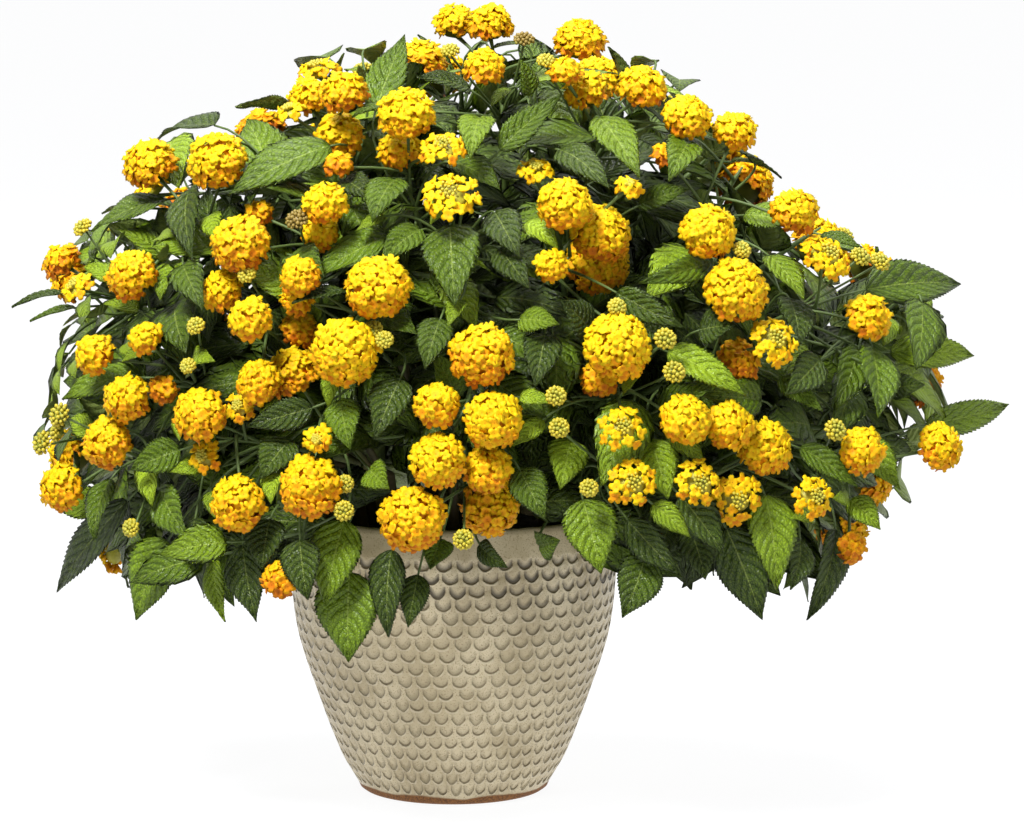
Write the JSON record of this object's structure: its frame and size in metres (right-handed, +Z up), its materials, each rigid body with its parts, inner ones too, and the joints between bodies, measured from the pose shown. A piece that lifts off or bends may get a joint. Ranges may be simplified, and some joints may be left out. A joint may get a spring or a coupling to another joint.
{
  "type": "potted lantana",
  "caption": "Bushy bedding lantana in full yellow bloom, growing from soil in a round glazed stoneware pot with pressed dimples.",
  "frame": {"origin": "centre of the pot's foot, on the surface it stands on", "axes": "+Z up along the pot's axis, -Y towards the front of the plant, +X to its right"},
  "size_m": [0.7388, 0.5722, 0.5888],
  "materials": {
    "glazed_pot": "glossy beige glaze, darker in the pressed dimples, with a bare brown foot edge",
    "soil": "matte crumbly potting mix",
    "foliage": "satin dark green leaves, quilted between their veins",
    "flowers": "soft matte petals, lemon yellow to orange"
  },
  "bodies": {
    "root": {"pot": "glazed_pot", "soil": "soil", "leafy_stem_01": "foliage", "leafy_stem_02": "foliage", "leafy_stem_03": "foliage", "leafy_stem_04": "foliage", "leafy_stem_05": "foliage", "leafy_stem_06": "foliage", "leafy_stem_07": "foliage", "leafy_stem_08": "foliage", "leafy_stem_09": "foliage", "leafy_stem_10": "foliage", "leafy_stem_11": "foliage", "leafy_stem_12": "foliage", "flower_spray_01": "flowers", "flower_spray_02": "flowers", "flower_spray_03": "flowers", "flower_spray_04": "flowers", "flower_spray_05": "flowers", "flower_spray_06": "flowers", "flower_spray_07": "flowers", "flower_spray_08": "flowers", "flower_spray_09": "flowers", "flower_spray_10": "flowers", "flower_spray_11": "flowers", "flower_spray_12": "flowers", "flower_spray_13": "flowers", "flower_spray_14": "flowers", "flower_spray_15": "flowers", "flower_spray_16": "flowers", "flower_spray_17": "flowers", "flower_spray_18": "flowers", "flower_spray_19": "flowers", "flower_spray_20": "flowers", "flower_spray_21": "flowers", "flower_spray_22": "flowers", "flower_spray_23": "flowers", "flower_spray_24": "flowers", "flower_spray_25": "flowers", "flower_spray_26": "flowers", "flower_spray_27": "flowers", "flower_spray_28": "flowers", "flower_spray_29": "flowers", "flower_spray_30": "flowers", "flower_spray_31": "flowers", "flower_spray_32": "flowers", "flower_spray_33": "flowers", "flower_spray_34": "flowers", "flower_spray_35": "flowers", "flower_spray_36": "flowers", "flower_spray_37": "flowers", "flower_spray_38": "flowers", "flower_spray_39": "flowers", "flower_spray_40": "flowers", "flower_spray_41": "flowers", "flower_spray_42": "flowers", "flower_spray_43": "flowers", "flower_spray_44": "flowers"}
  },
  "joints": []
}
